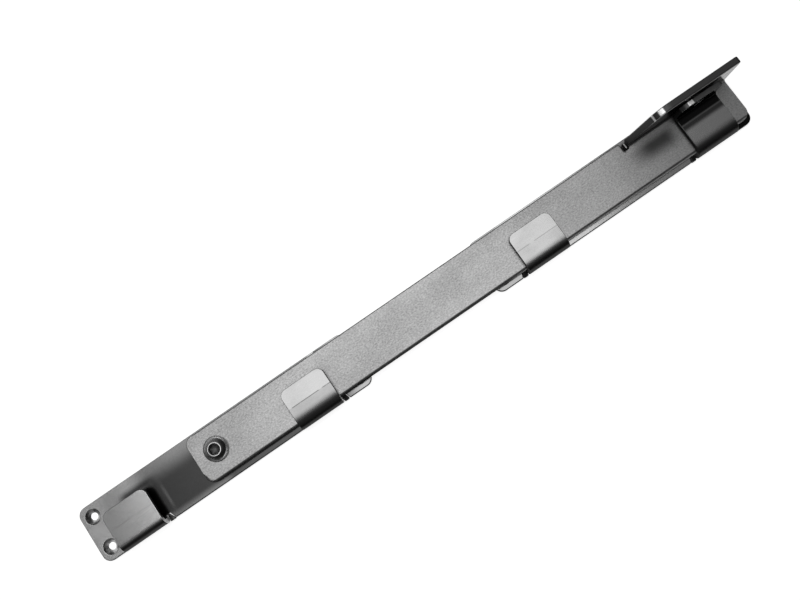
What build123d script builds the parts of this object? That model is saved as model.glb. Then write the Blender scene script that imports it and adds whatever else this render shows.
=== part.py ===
from build123d import *
import os

# Padlockable swing-over bar latch for a pair of doors, lying on its back.
# X runs along the bar towards the padlock end, Y points to the open side of the hooks,
# and Z points away from the doors. The origin is the middle of the back.
# All sizes are in millimetres.

# Plates and sheet
overall_length = 641.0
plate_length = 258.5
plate_width = 48.5
sheet = 4.0
plate_corner_radius = 7.0

# Hooks bent up from the lower edge of each plate
hook_length = 40.0
outer_hook_inset = 38.5
parking_hook_inset = 40.0
inner_hook_inset = 49.5
hook_bend_inner_radius = 2.5
hook_wall_stand_out = 0.5
hook_reach = 35.0
tab_corner_radius = 6.0
relief_inner_width = 3.5
relief_mouth_width = 5.5
outboard_slit = 0.6

# Countersunk fixing holes
fixing_hole_diameter = 6.0
countersink_diameter = 13.0
countersink_angle = 90.0
fixing_hole_inset = 9.7
fixing_hole_spacing = 28.0

# Bar
bar_width = 42.5
bar_thickness = 6.0
bar_corner_radius = 7.5
bar_edge_round = 2.5
pivot_inset = 123.5
bar_end_beyond_pivot = 19.6
pivot_below_bar_edge = 20.0
bar_end_short_of_plate = 3.1

# Padlock lugs
bar_lug_length = 98.4
bar_lug_height = 37.6
bar_lug_lean = 21.0
bar_lug_bend_inner_radius = 2.0
bar_lug_corner_radius = 12.0
bar_relief_width = 5.0
keeper_lug_height = 20.0
keeper_lug_bend_inner_radius = 4.0
keeper_lug_corner_radius = 8.0
outboard_corner_radius = 3.0
padlock_hole_diameter = 11.0
padlock_hole_height = 10.0

# Pivot hardware
screw_diameter = 12.0
screw_head_diameter = 21.0
screw_head_height = 6.6
screw_head_rim = 0.8
screw_dome_bulge = 0.9
screw_top_flat_diameter = 10.8
screw_socket_size = 8.0
screw_socket_mouth_diameter = 9.9
screw_socket_depth = 4.2
screw_end_setback = 0.8
bush_diameter = 17.0
bush_spigot_diameter = 15.0
washer_diameter = 26.0
washer_thickness = 1.0
small_chamfer = 0.5

# Clearances
bar_running_clearance = 0.05
washer_hole_clearance = 0.2
pivot_play = 0.1
bar_under_hook_clearance = 0.9
bar_to_wall_clearance = 0.65
lug_gap = 0.8

# Levels above the back
bar_bottom_z = sheet + washer_thickness + pivot_play
bar_middle_z = bar_bottom_z + bar_thickness / 2
bar_top_z = bar_bottom_z + bar_thickness
tab_bottom_z = bar_top_z + bar_under_hook_clearance
tab_top_z = tab_bottom_z + sheet
tab_middle_z = (tab_bottom_z + tab_top_z) / 2
keeper_lug_top_z = tab_top_z + keeper_lug_height
bar_lug_top_z = bar_top_z + bar_lug_height
padlock_hole_z = tab_top_z + padlock_hole_height
head_seat_z = bar_top_z + pivot_play
head_top_z = head_seat_z + screw_head_height

# Lines across the width
top_edge_y = (plate_width + hook_wall_stand_out) / 2
low_edge_y = top_edge_y - plate_width
plate_middle_y = (top_edge_y + low_edge_y) / 2
wall_outer_y = low_edge_y - hook_wall_stand_out
wall_middle_y = wall_outer_y + sheet / 2
wall_inner_y = wall_outer_y + sheet
hook_bend_start_y = wall_inner_y + hook_bend_inner_radius
tab_edge_y = wall_outer_y + hook_reach
bar_low_y = wall_inner_y + bar_to_wall_clearance
bar_high_y = bar_low_y + bar_width
bar_middle_y = (bar_low_y + bar_high_y) / 2
pivot_y = bar_high_y - pivot_below_bar_edge
bar_lug_inner_y = bar_high_y - bar_thickness
bar_bend_start_y = bar_lug_inner_y - bar_lug_bend_inner_radius
keeper_lug_outer_y = bar_lug_inner_y - lug_gap
keeper_lug_middle_y = keeper_lug_outer_y - sheet / 2

# Places along the length
outer_end_x = overall_length / 2
plate_middle_x = outer_end_x - plate_length / 2
outer_hook_x = outer_end_x - outer_hook_inset
parking_hook_x = outer_end_x - parking_hook_inset
inner_hook_x = outer_end_x - plate_length + inner_hook_inset
pivot_x = -outer_end_x + pivot_inset
bar_left_x = pivot_x - bar_end_beyond_pivot
bar_right_x = outer_end_x - bar_end_short_of_plate
bar_length = bar_right_x - bar_left_x
bar_lug_foot_x = bar_right_x - bar_lug_length
bar_relief_x = bar_lug_foot_x - bar_relief_width
padlock_x = outer_hook_x
fixing_hole_pitch = plate_length - 2 * fixing_hole_inset

# Radii on the middle line of each bend
hook_bend_radius = hook_bend_inner_radius + sheet / 2
keeper_lug_bend_radius = keeper_lug_bend_inner_radius + sheet / 2
bar_lug_bend_radius = bar_lug_bend_inner_radius + bar_thickness / 2

# Path of a plain hook's middle line above its wall, and of the hook that ends in the lug
plain_tab = [(tab_edge_y, tab_middle_z)]
lug_tab = [(keeper_lug_middle_y, tab_middle_z), (keeper_lug_middle_y, keeper_lug_top_z)]


def plate_outline(side, hook_places):
    """Flat outline of one plate, cut free of each hook: a notch inboard, a slit outboard."""
    with BuildSketch() as outline:
        with Locations((side * plate_middle_x, plate_middle_y)):
            RectangleRounded(plate_length, plate_width, plate_corner_radius)
        for hook_x in hook_places:
            inboard_x = hook_x - hook_length / 2
            slit_x = hook_x + hook_length / 2 + outboard_slit
            with BuildLine():
                Polyline(
                    (side * slit_x, low_edge_y),
                    (side * slit_x, hook_bend_start_y),
                    (side * (inboard_x - relief_inner_width), hook_bend_start_y),
                    (side * (inboard_x - relief_mouth_width), low_edge_y),
                    close=True,
                )
            make_face(mode=Mode.SUBTRACT)
    return outline.sketch


def hook_section(centre_x, tab_points, tab_radii=()):
    """Section of a hook: out of the plate, up the wall and back over the bar."""
    with BuildSketch(Plane.YZ.offset(centre_x)) as section:
        with BuildLine():
            middle_line = FilletPolyline(
                (hook_bend_start_y + sheet, sheet / 2),
                (wall_middle_y, sheet / 2),
                (wall_middle_y, tab_middle_z),
                *tab_points,
                radius=(hook_bend_radius, hook_bend_radius, *tab_radii),
            )
        trace(middle_line, line_width=sheet)
    return section.sketch


def round_tab_corners(plate):
    """Rounded free corners of the plain tabs, which are the plate's highest upright edges."""
    fillet(plate.edges().filter_by(Axis.Z).group_by(Axis.Z)[-1], radius=tab_corner_radius)


def round_lug_corners(plate, inboard_radius):
    """Rounded top corners of a padlock lug."""
    top_corners = plate.edges().filter_by(Axis.Y).group_by(Axis.Z)[-1]
    fillet(top_corners.sort_by(Axis.X)[0], radius=inboard_radius)
    top_corners = plate.edges().filter_by(Axis.Y).group_by(Axis.Z)[-1]
    fillet(top_corners.sort_by(Axis.X)[-1], radius=outboard_corner_radius)


def padlock_hole(face_y):
    """Outline of the padlock hole on the face of a lug."""
    with BuildSketch(Plane.XZ.offset(-face_y)) as outline:
        with Locations((padlock_x, padlock_hole_z)):
            Circle(padlock_hole_diameter / 2)
    return outline.sketch


def drill_fixing_holes(side):
    """Four countersunk holes, two at each end of the plate."""
    with Locations((side * plate_middle_x, plate_middle_y, sheet)):
        with GridLocations(fixing_hole_pitch, fixing_hole_spacing, 2, 2):
            CounterSinkHole(
                radius=fixing_hole_diameter / 2,
                counter_sink_radius=countersink_diameter / 2,
                counter_sink_angle=countersink_angle,
            )


# Pivot plate: carries the pivot, the parking hook at its outer end and one keeper hook
with BuildPart() as pivot_plate:
    extrude(plate_outline(-1, (parking_hook_x, inner_hook_x)), amount=sheet)
    extrude(hook_section(-parking_hook_x, plain_tab), amount=hook_length / 2, both=True)
    extrude(hook_section(-inner_hook_x, plain_tab), amount=hook_length / 2, both=True)
    round_tab_corners(pivot_plate)
    drill_fixing_holes(-1)
    with Locations((pivot_x, pivot_y, sheet)):
        Hole(radius=bush_spigot_diameter / 2)

# Keeper plate: one plain hook, and the end hook whose tab turns up into the padlock lug
with BuildPart() as keeper_plate:
    extrude(plate_outline(1, (outer_hook_x, inner_hook_x)), amount=sheet)
    extrude(hook_section(inner_hook_x, plain_tab), amount=hook_length / 2, both=True)
    round_tab_corners(keeper_plate)
    lug_hook = hook_section(outer_hook_x, lug_tab, [keeper_lug_bend_radius])
    extrude(lug_hook, amount=hook_length / 2, both=True)
    round_lug_corners(keeper_plate, keeper_lug_corner_radius)
    extrude(padlock_hole(keeper_lug_outer_y), amount=sheet, mode=Mode.SUBTRACT)
    drill_fixing_holes(1)

# Bar: rolled flat bar with round long edges, its padlock lug bent up at the far end
with BuildPart() as bar:
    with BuildSketch(Plane.YZ.offset(bar_left_x)):
        with Locations((bar_middle_y, bar_middle_z)):
            RectangleRounded(bar_width, bar_thickness, bar_edge_round)
    extrude(amount=bar_length)
    with BuildSketch(Plane.XY.offset(bar_bottom_z)):
        with BuildLine():
            Polyline(
                (bar_left_x, bar_low_y),
                (bar_right_x, bar_low_y),
                (bar_right_x, bar_bend_start_y),
                (bar_relief_x, bar_bend_start_y),
                (bar_relief_x, bar_high_y),
                (bar_left_x, bar_high_y),
                close=True,
            )
        outline = make_face()
        left_corners = outline.vertices().group_by(Axis.X)[0]
        low_right_corner = outline.vertices().group_by(Axis.Y)[0].sort_by(Axis.X)[-1]
        fillet(left_corners + [low_right_corner], radius=bar_corner_radius)
    extrude(amount=bar_thickness, mode=Mode.INTERSECT)
    with BuildSketch(Plane.YZ.offset(bar_lug_foot_x)):
        with BuildLine():
            FilletPolyline(
                (bar_bend_start_y - bar_thickness, bar_middle_z),
                (bar_high_y - bar_thickness / 2, bar_middle_z),
                (bar_high_y - bar_thickness / 2, bar_lug_top_z),
                radius=bar_lug_bend_radius,
            )
        trace(line_width=bar_thickness)
    extrude(amount=bar_lug_length)
    with BuildSketch(Plane.XZ.offset(-bar_high_y)):
        with BuildLine():
            Polyline(
                (bar_lug_foot_x, bar_top_z + bar_lug_bend_inner_radius),
                (bar_lug_foot_x, bar_lug_top_z),
                (bar_lug_foot_x + bar_lug_lean, bar_lug_top_z),
                close=True,
            )
        make_face()
    extrude(amount=bar_thickness, mode=Mode.SUBTRACT)
    round_lug_corners(bar, bar_lug_corner_radius)
    extrude(padlock_hole(bar_high_y), amount=bar_thickness, mode=Mode.SUBTRACT)
    with Locations((pivot_x, pivot_y, bar_top_z)):
        Hole(radius=bush_diameter / 2 + bar_running_clearance)

# Pivot bush: spigot pressed into the plate, journal for the bar, threaded bore for the screw
with BuildPart() as pivot_bush:
    with BuildSketch(Plane.XZ.offset(-pivot_y)):
        with BuildLine():
            Polyline(
                (pivot_x + screw_diameter / 2, 0),
                (pivot_x + bush_spigot_diameter / 2 - small_chamfer, 0),
                (pivot_x + bush_spigot_diameter / 2, small_chamfer),
                (pivot_x + bush_spigot_diameter / 2, sheet),
                (pivot_x + bush_diameter / 2, sheet),
                (pivot_x + bush_diameter / 2, head_seat_z),
                (pivot_x + screw_diameter / 2, head_seat_z),
                close=True,
            )
        make_face()
    revolve(axis=Axis((pivot_x, pivot_y, 0), (0, 0, 1)))

# Spacer washer between the plate and the bar
with BuildPart() as spacer_washer:
    with BuildSketch(Plane.XY.offset(sheet)):
        with Locations((pivot_x, pivot_y)):
            Circle(washer_diameter / 2)
            Circle(bush_diameter / 2 + washer_hole_clearance, mode=Mode.SUBTRACT)
    extrude(amount=washer_thickness)

# Pivot screw: domed button head with a hexagon socket
with BuildPart() as pivot_screw:
    dome_foot = (pivot_x + screw_head_diameter / 2, head_seat_z + screw_head_rim)
    dome_top = (pivot_x + screw_top_flat_diameter / 2, head_top_z)
    with BuildSketch(Plane.XZ.offset(-pivot_y)):
        with BuildLine():
            Polyline(
                dome_top,
                (pivot_x, head_top_z),
                (pivot_x, screw_end_setback),
                (pivot_x + screw_diameter / 2 - small_chamfer, screw_end_setback),
                (pivot_x + screw_diameter / 2, screw_end_setback + small_chamfer),
                (pivot_x + screw_diameter / 2, head_seat_z),
                (pivot_x + screw_head_diameter / 2, head_seat_z),
                dome_foot,
            )
            SagittaArc(dome_foot, dome_top, -screw_dome_bulge)
        make_face()
    revolve(axis=Axis((pivot_x, pivot_y, 0), (0, 0, 1)))
    with BuildSketch(Plane.XY.offset(head_top_z)):
        with Locations((pivot_x, pivot_y)):
            RegularPolygon(screw_socket_size / 2, 6, major_radius=False)
    extrude(amount=-screw_socket_depth, mode=Mode.SUBTRACT)
    with Locations((pivot_x, pivot_y, head_top_z)):
        Cone(
            bottom_radius=screw_socket_size / 2,
            top_radius=screw_socket_mouth_diameter / 2,
            height=(screw_socket_mouth_diameter - screw_socket_size) / 2,
            align=(Align.CENTER, Align.CENTER, Align.MAX),
            mode=Mode.SUBTRACT,
        )

os.makedirs("parts", exist_ok=True)

pivot_plate.part.label = "pivot_plate"
export_step(pivot_plate.part, "parts/pivot_plate.step")

keeper_plate.part.label = "keeper_plate"
export_step(keeper_plate.part, "parts/keeper_plate.step")

bar.part.label = "bar"
export_step(bar.part, "parts/bar.step")

pivot_bush.part.label = "pivot_bush"
export_step(pivot_bush.part, "parts/pivot_bush.step")

spacer_washer.part.label = "spacer_washer"
export_step(spacer_washer.part, "parts/spacer_washer.step")

pivot_screw.part.label = "pivot_screw"
export_step(pivot_screw.part, "parts/pivot_screw.step")
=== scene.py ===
import math

import bmesh
import bpy
from mathutils import Matrix, Vector
from mathutils.geometry import tessellate_polygon


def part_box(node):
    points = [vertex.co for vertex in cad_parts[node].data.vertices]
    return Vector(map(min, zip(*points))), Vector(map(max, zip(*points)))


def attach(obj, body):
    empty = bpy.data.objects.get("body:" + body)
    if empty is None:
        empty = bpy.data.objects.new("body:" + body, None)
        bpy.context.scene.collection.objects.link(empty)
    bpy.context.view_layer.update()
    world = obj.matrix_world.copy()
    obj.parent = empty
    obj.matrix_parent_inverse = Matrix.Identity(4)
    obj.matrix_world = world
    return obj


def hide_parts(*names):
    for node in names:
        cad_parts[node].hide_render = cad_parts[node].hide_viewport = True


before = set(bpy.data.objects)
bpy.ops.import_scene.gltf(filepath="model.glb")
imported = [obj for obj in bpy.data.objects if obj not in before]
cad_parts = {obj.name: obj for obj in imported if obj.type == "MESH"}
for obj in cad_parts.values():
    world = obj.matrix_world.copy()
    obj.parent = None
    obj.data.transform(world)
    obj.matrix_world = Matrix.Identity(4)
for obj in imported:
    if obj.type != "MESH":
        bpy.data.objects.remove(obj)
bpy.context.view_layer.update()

# Sizes of the latch in millimetres
MM = 0.001
SHEET = 4.0
BAR_THICKNESS = 6.0
PLATE_CORNER = 7.0
HOOK_LENGTH = 40.0
HOOK_BEND_START = 6.5
HOOK_BEND_RADIUS = 4.5
HOOK_RISE = 12.0
HOOK_RETURN = 33.0
TAB_CORNER = 6.0
NOTCH_INNER_WIDTH = 3.5
NOTCH_MOUTH_WIDTH = 5.5
SLIT_WIDTH = 0.6
LUG_HOOK_INSET = 38.5
PARKING_HOOK_INSET = 40.0
INNER_HOOK_INSET = 49.5
LOWER_EDGE_INSET = 0.5
LUG_RETURN = 30.35
LUG_BEND_RADIUS = 6.0
LUG_RISE = 16.0
LUG_INBOARD_CORNER = 8.0
LUG_OUTBOARD_CORNER = 3.0
LUG_HOLE_RISE = 6.0
PADLOCK_HOLE_RADIUS = 5.5
FIXING_HOLE_RADIUS = 3.0
COUNTERSINK_RADIUS = 6.5
FIXING_HOLE_INSET = 9.7
FIXING_HOLE_SPACING = 28.0
BUSH_SPIGOT_RADIUS = 7.5
BAR_BORE_RADIUS = 8.55
BAR_CORNER = 7.5
BAR_BEND_SETBACK = 8.0
BAR_BEND_RADIUS = 5.0
BAR_LUG_RISE = 35.6
BAR_LUG_LENGTH = 98.4
BAR_LUG_LEAN = 21.0
BAR_LUG_CORNER = 20.0
BAR_LUG_FOOT_FILLET = 6.0
BAR_LUG_HOLE_RISE = 12.9
BAR_LUG_HOLE_INSET = 35.4
BAR_NOTCH_WIDTH = 5.0

# Sizes of the pivot screw in millimetres; a profile is radius and depth below the head's top
HEAD_HEIGHT = 6.6
HEAD_RIM_HEIGHT = 0.8
HEAD_RIM_ROUND = 0.25
HEAD_RIM_ROUND_MIDDLE = 0.07
HEAD_RIM_BLEND = 0.2
HEAD_CROWN_RADIUS = 5.4
HEAD_BULGE = 0.9
SHANK_RADIUS = 6.0
SHANK_CHAMFER = 0.5
SOCKET_HALF_WIDTH = 4.0
SOCKET_MOUTH_RADIUS = 4.95
SOCKET_MOUTH_PROFILE = ((5.28, 0.0), (5.01, 0.0), (4.91, 0.06))
SOCKET_WALL_DEPTHS = (2.0, 3.6)
SOCKET_FLOOR_PROFILE = ((3.6, 4.1), (1.0, 5.3))

# How finely the screw is drawn, and the sharpest angle that still shades as smooth
SCREW_SIDES = 120
DOME_STEPS = 22
SMOOTH_ANGLE = math.radians(28)

# Edges of the metal in millimetres
SHEET_EDGE_ROUND = 0.4
LOWER_EDGE_ROUND = 0.9
BAR_NOTCH_EDGE_ROUND = 1.6
BAR_CUT_EDGE_ROUND = 0.6
BAR_ROLLED_EDGE_ROUND = 2.5
BAR_FAR_EDGE_ROUND = 1.2
LUG_TOP_EDGE_ROUND = 1.2
HOLE_EDGE_ROUND = 0.3
LUG_HOLE_EDGE_ROUND = 0.4
BAR_LUG_HOLE_EDGE_ROUND = 0.6
EDGE_BLEND = 4.0
SLIT_END_ROUND = 0.29
NOTCH_ROUND = 1.0
MOUTH_ROUND = 1.0

# How many steps draw the round of an edge
EDGE_STEPS = 4
BAR_EDGE_STEPS = 6
HOLE_EDGE_STEPS = 3

# Torn metal in the hooks' notches: gaps from the hook's side at the inner end, then at the mouth
PARKING_LUMP = (1.8, 0.9, 5.0, 0.2)
PIVOT_SIDE_LUMP = (3.2, 0.1, 5.2, 0.1)
KEEPER_SIDE_LUMP = (3.6, 0.1, 5.6, 0.1)
LUMP_HALF_THICKNESS = 1.7
LUMP_PAST_EDGE = 0.4
LUMP_INNER_GAP = 0.1
LUMP_ROUND = 1.2
LUMP_ROUND_SHARE = 0.45

# Torn metal in the bar's notch: gaps from the notch's sides and from its two ends
BAR_LUMP_SIDE_GAPS = (2.3, 2.6)
BAR_LUMP_FOOT_GAP = 0.7
BAR_LUMP_INNER_GAP = 0.8
BAR_LUMP_MOUTH_GAP = 1.8
BAR_LUMP_HALF_THICKNESS = 2.6

# How far a flap's fold reaches past the flap's own sides, in millimetres
FOLD_PAST_NOTCH_SIDE = 0.05
FOLD_PAST_SLIT_SIDE = 0.3
FOLD_PAST_BAR_LUG = 0.5

# Twice the area of the smallest face that the flat metal keeps, how far apart points stay, and the
# decimals of a fold's stations
LEAST_DOUBLE_AREA = 1e-7
SNAP_DISTANCE = 1e-4
STATION_DIGITS = 4

# A point's cut_edge value is 0 on a flat face, rises to 1 on a cut edge, and is this in a drilled hole
DRILLED = -1.0


def box_in_mm(node):
    """The low and high corners of a CAD node's box, in millimetres."""
    low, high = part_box(node)
    return low / MM, high / MM


# Places of the hooks and of the bar in millimetres, from the CAD boxes
INNER_END = box_in_mm("keeper_plate")[0].x
OUTER_END = box_in_mm("keeper_plate")[1].x
INNER_HOOK_X = INNER_END + INNER_HOOK_INSET
PARKING_HOOK_X = PARKING_HOOK_INSET - OUTER_END
LUG_HOOK_X = OUTER_END - LUG_HOOK_INSET
PARKING_NOTCH_X = PARKING_HOOK_X + HOOK_LENGTH / 2
PIVOT_SIDE_NOTCH_X = HOOK_LENGTH / 2 - INNER_HOOK_X
KEEPER_SIDE_NOTCH_X = INNER_HOOK_X - HOOK_LENGTH / 2
LUG_HOOK_NOTCH_X = LUG_HOOK_X - HOOK_LENGTH / 2
BAR_NEAR_Y = box_in_mm("bar")[0].y
BAR_FAR_Y = box_in_mm("bar")[1].y

# Middle of the pivot screw, in metres
PIVOT_PLACE = (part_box("pivot_screw")[0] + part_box("pivot_screw")[1]) / 2


# Outlines of the flat metal, before it is bent

def corner(x, s, radius, edge=SHEET_EDGE_ROUND, edge_after=None):
    """One corner of a flat outline, and how round the metal's edge is there and after it."""
    return {
        "place": Vector((x, s)),
        "radius": radius,
        "edge": edge,
        "edge_after": edge if edge_after is None else edge_after,
    }


def mirrored(corners):
    """The same outline on the other side of the latch, still running anticlockwise."""
    swapped = []
    for index in reversed(range(len(corners))):
        item = corners[index]
        swapped.append(dict(
            item,
            place=Vector((-item["place"].x, item["place"].y)),
            edge_after=corners[index - 1]["edge_after"],
        ))
    return swapped


def arc_steps(radius, sweep):
    """How many straight pieces draw a round corner smoothly."""
    fewest = 4
    per_radian_at_zero = 1.5
    more_with_size = 2.2
    per_radian = per_radian_at_zero + more_with_size * math.sqrt(radius)
    return max(fewest, math.ceil(abs(sweep) * per_radian))


def outline_points(corners):
    """Points round an outline, each with its place, outward direction and edge rounding."""
    points = []
    for index, item in enumerate(corners):
        before = corners[index - 1]
        after = corners[(index + 1) % len(corners)]
        back = (before["place"] - item["place"]).normalized()
        ahead = (after["place"] - item["place"]).normalized()
        half_angle = back.angle(ahead) / 2
        side = 1.0 if back.cross(ahead) < 0 else -1.0
        reach = item["radius"] / math.tan(half_angle)
        centre = item["place"] + (back + ahead).normalized() * item["radius"] / math.sin(half_angle)
        start = item["place"] + back * reach
        end = item["place"] + ahead * reach
        sweep = side * (math.pi - 2 * half_angle)
        steps = arc_steps(item["radius"], sweep)
        start_angle = math.atan2(start.y - centre.y, start.x - centre.x)
        arc = []
        for step in range(steps + 1):
            angle = start_angle + sweep * step / steps
            direction = Vector((math.cos(angle), math.sin(angle)))
            arc.append((centre + direction * item["radius"], direction * side, item["edge"]))
        if before["edge_after"] != item["edge"]:
            points.append((start + back * EDGE_BLEND, arc[0][1], before["edge_after"]))
        points.extend(arc)
        if item["edge_after"] != item["edge"]:
            points.append((end + ahead * EDGE_BLEND, arc[-1][1], item["edge_after"]))
    return points


def edge_rings(points, half_thickness, steps=EDGE_STEPS):
    """Rings of points from the upper face round the metal's edge to the lower face."""
    rings = []
    angles = [math.pi / 2 * step / steps for step in range(steps + 1)]
    for upper in (True, False):
        for angle in angles if upper else reversed(angles):
            sign = 1.0 if upper else -1.0
            ring = []
            for place, outward, rounding in points:
                flat = place - outward * rounding * (1 - math.sin(angle))
                height = sign * (half_thickness - rounding * (1 - math.cos(angle)))
                normal = Vector((*(outward * math.sin(angle)), sign * math.cos(angle)))
                ring.append((Vector((flat.x, flat.y, height)), normal, math.sin(angle)))
            rings.append(ring)
    return rings


def round_hole(x, s, radius, half_thickness, edge=HOLE_EDGE_ROUND, count=48):
    """Rings of a plain drilled hole; they run clockwise, so the hole's wall faces inward."""
    points = []
    for index in range(count):
        angle = -2 * math.pi * index / count
        direction = Vector((math.cos(angle), math.sin(angle)))
        points.append((Vector((x, s)) + direction * radius, -direction, edge))
    return edge_rings(points, half_thickness, HOLE_EDGE_STEPS)


def countersink_profile(half_thickness):
    """Radius, height, tilt and cut_edge value down a countersunk hole, from rim to lower rim."""
    rim_round = 0.25
    land_round = 0.3
    land_drop = 0.1
    low_round = 0.15
    # A round of this radius meets the flat face tan 22.5 degrees times the radius outside the cone
    rim_reach = 0.4142 * rim_round
    cone_foot = half_thickness - (COUNTERSINK_RADIUS - FIXING_HOLE_RADIUS)
    profile = []
    for degrees in (0, 15, 30, 45):
        tilt = math.radians(degrees)
        profile.append((
            COUNTERSINK_RADIUS + rim_reach - rim_round * math.sin(tilt),
            half_thickness - rim_round * (1 - math.cos(tilt)),
            tilt,
            DRILLED if degrees == 45 else 0.0,
        ))
    for degrees in (45, 60, 75, 90):
        tilt = math.radians(degrees)
        profile.append((
            FIXING_HOLE_RADIUS + land_round * (1 - math.sin(tilt)),
            cone_foot - land_drop + land_round * math.cos(tilt),
            tilt,
            DRILLED,
        ))
    for degrees in (90, 135, 180):
        tilt = math.radians(degrees)
        profile.append((
            FIXING_HOLE_RADIUS + low_round * (1 - math.sin(tilt)),
            -half_thickness + low_round * (1 + math.cos(tilt)),
            tilt,
            0.0,
        ))
    return profile


def countersunk_hole(x, s, half_thickness, count=64):
    """Rings of a countersunk hole: rounded rim, 45 degree cone, short land and lower rim."""
    rings = []
    for radius, height, tilt, mask in countersink_profile(half_thickness):
        ring = []
        for index in range(count):
            angle = -2 * math.pi * index / count
            direction = Vector((math.cos(angle), math.sin(angle)))
            place = Vector((x + direction.x * radius, s + direction.y * radius, height))
            normal = Vector((*(-direction * math.sin(tilt)), math.cos(tilt)))
            ring.append((place, normal, mask))
        rings.append(ring)
    return rings


def torn_lump(low, high, mouth_low, mouth_high, mouth_s, inner_s):
    """Outline of a rounded lump of torn metal in a notch; each end of the notch has its own width."""
    width = min(high - low, mouth_high - mouth_low)
    radius = min(LUMP_ROUND, width * LUMP_ROUND_SHARE)
    return [
        corner(mouth_low, mouth_s, radius, radius),
        corner(mouth_high, mouth_s, radius, radius),
        corner(high, inner_s, radius, radius),
        corner(low, inner_s, radius, radius),
    ]


# Bending the flat metal along a path of straight runs and bends

def bend_length(radius, degrees=90.0):
    """Length of a bend on the metal's middle line."""
    return radius * math.radians(degrees)


def path_length(path):
    """Length of a whole path of runs and bends."""
    total = 0.0
    for step in path:
        total += step[1] if step[0] == "run" else bend_length(step[1], abs(step[2]))
    return total


def along(path, distance):
    """How far out and up the path has come after a distance, and its angle there."""
    out, up, angle = 0.0, 0.0, 0.0
    for step in path:
        if step[0] == "run":
            length = step[1]
            moved = min(distance, length)
            out += moved * math.cos(angle)
            up += moved * math.sin(angle)
        else:
            length = bend_length(step[1], abs(step[2]))
            moved = min(distance, length)
            turn = math.copysign(1.0, step[2])
            new_angle = angle + turn * moved / step[1]
            out += turn * step[1] * (math.sin(new_angle) - math.sin(angle))
            up -= turn * step[1] * (math.cos(new_angle) - math.cos(angle))
            angle = new_angle
        distance -= moved
        if distance <= 0:
            return out, up, angle
    return out + distance * math.cos(angle), up + distance * math.sin(angle), angle


def bend_stations(path, pieces_per_bend=12):
    """Distances along a path where the metal needs a row of points to bend smoothly."""
    stations = [0.0]
    position = 0.0
    for step in path:
        if step[0] == "run":
            position += step[1]
            stations.append(position)
        else:
            length = bend_length(step[1], abs(step[2]))
            for index in range(1, pieces_per_bend + 1):
                stations.append(position + length * index / pieces_per_bend)
            position += length
    return stations[:-1]


def folded(place, normal, flaps, middle_z):
    """Where a point of the flat metal goes when its flap is bent up."""
    for flap in flaps:
        distance = (place.y - flap["start"]) * flap["heading"]
        if distance <= 0 or not flap["low_x"] < place.x < flap["high_x"]:
            continue
        out, up, angle = along(flap["path"], distance)
        sine, cosine = math.sin(angle), math.cos(angle)
        y = flap["start"] + flap["heading"] * (out - place.z * sine)
        z = middle_z + up + place.z * cosine
        forward = flap["heading"] * normal.y
        turned = Vector((
            normal.x,
            flap["heading"] * (forward * cosine - normal.z * sine),
            forward * sine + normal.z * cosine,
        ))
        return Vector((place.x, y, z)), turned
    return Vector((place.x, place.y, middle_z + place.z)), normal


def add_island(flat, normals, edges, loops):
    """Adds walls and both faces of one island of metal from the rings of its outline and holes."""
    upper, lower = [], []
    for rings in loops:
        rows = []
        for ring in rings:
            row = []
            for place, normal, mask in ring:
                vert = flat.verts.new(place)
                vert[normals] = normal
                vert[edges] = mask
                row.append(vert)
            rows.append(row)
        upper.append(rows[0])
        lower.append(rows[-1])
        count = len(rows[0])
        for above, below in zip(rows, rows[1:]):
            for index in range(count):
                following = (index + 1) % count
                flat.faces.new((below[index], below[following], above[following], above[index]))
    for rims, facing in ((upper, 1.0), (lower, -1.0)):
        verts = [vert for rim in rims for vert in rim]
        polygons = [[Vector((v.co.x, v.co.y, 0.0)) for v in rim] for rim in rims]
        for triangle in tessellate_polygon(polygons):
            a, b, c = (verts[index] for index in triangle)
            double_area = (b.co - a.co).cross(c.co - a.co).z
            if abs(double_area) < LEAST_DOUBLE_AREA:
                continue
            flat.faces.new((a, b, c) if double_area * facing > 0 else (a, c, b))


def bent_metal(name, islands, flaps, middle_z):
    """Builds one bent piece of metal from its islands, each an outline with its holes."""
    flat = bmesh.new()
    normals = flat.verts.layers.float_vector.new("flat_normal")
    edges = flat.verts.layers.float.new("cut_edge")
    for loops in islands:
        add_island(flat, normals, edges, loops)
    stations = set()
    for flap in flaps:
        for distance in bend_stations(flap["path"]):
            stations.add(round(flap["start"] + flap["heading"] * distance, STATION_DIGITS))
    for station in sorted(stations):
        everything = flat.verts[:] + flat.edges[:] + flat.faces[:]
        bmesh.ops.bisect_plane(
            flat, geom=everything, dist=SNAP_DISTANCE, plane_co=(0, station, 0), plane_no=(0, 1, 0)
        )
    flat.verts.ensure_lookup_table()
    final_normals = []
    for vert in flat.verts:
        place, normal = folded(vert.co.copy(), Vector(vert[normals]), flaps, middle_z)
        vert.co = place * MM
        final_normals.append(normal.normalized())
    mesh = bpy.data.meshes.new(name)
    flat.to_mesh(mesh)
    flat.free()
    mesh.polygons.foreach_set("use_smooth", [True] * len(mesh.polygons))
    mesh.normals_split_custom_set_from_vertices(final_normals)
    mesh.update()
    piece = bpy.data.objects.new(name, mesh)
    bpy.context.scene.collection.objects.link(piece)
    return piece


# The two plates with their hooks

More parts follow.
